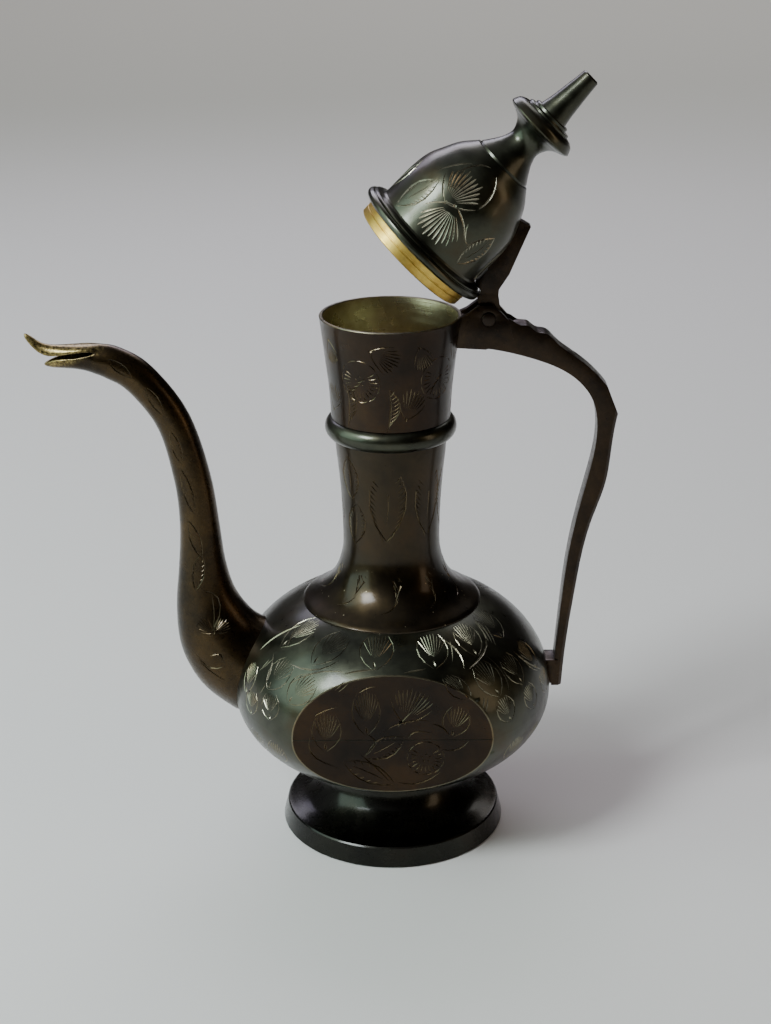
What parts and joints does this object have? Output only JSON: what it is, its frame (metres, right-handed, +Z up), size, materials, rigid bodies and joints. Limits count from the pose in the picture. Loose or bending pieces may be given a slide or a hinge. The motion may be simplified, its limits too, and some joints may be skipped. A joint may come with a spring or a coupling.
{
  "type": "long-spouted brass ewer",
  "caption": "Dark-patinated engraved brass ewer with a squashed round body, flared neck cup, swan-neck spout with split beak, cast handle and hinged domed lid.",
  "frame": {"origin": "centre of the foot's bottom face", "axes": "+Z up; the spout points to -X, the handle and hinge are at +X, the oval facets face -Y and +Y"},
  "size_m": [0.2214, 0.0998, 0.2978],
  "materials": {
    "foot": "dark bronzed patina, polished",
    "body_lower": "dark bronzed patina, polished",
    "body_upper": "dark bronzed patina, polished",
    "neck": "dark bronzed patina, polished",
    "neck_ring": "dark bronzed patina, polished",
    "mouth_cup": "dark bronzed patina, polished",
    "spout": "dark bronzed patina, polished",
    "handle": "dark bronzed patina, polished",
    "handle_lug": "dark bronzed patina, polished",
    "hinge_pin": "dark bronzed patina, polished",
    "lid_arm": "dark bronzed patina, polished",
    "lid_dome": "dark bronzed patina, polished",
    "lid_spigot": "bare turned brass",
    "finial_stem": "dark bronzed patina, polished",
    "finial_disc": "dark bronzed patina, polished",
    "finial_spire": "dark bronzed patina, polished",
    "finial_stud": "bare threaded brass"
  },
  "bodies": {
    "pot": {"foot": "foot", "body_lower": "body_lower", "body_upper": "body_upper", "neck": "neck", "neck_ring": "neck_ring", "mouth_cup": "mouth_cup", "spout": "spout", "handle": "handle", "handle_lug": "handle_lug", "hinge_pin": "hinge_pin"},
    "lid": {"lid_arm": "lid_arm", "lid_dome": "lid_dome", "lid_spigot": "lid_spigot", "finial_stem": "finial_stem", "finial_disc": "finial_disc", "finial_spire": "finial_spire", "finial_stud": "finial_stud"}
  },
  "joints": [
    {"name": "lid_hinge", "type": "hinge", "parent": "pot", "child": "lid", "pos_m": [0.03603, 0, 0.2094], "axis": [0, 1, 0], "range_deg": [-45, 60]}
  ]
}
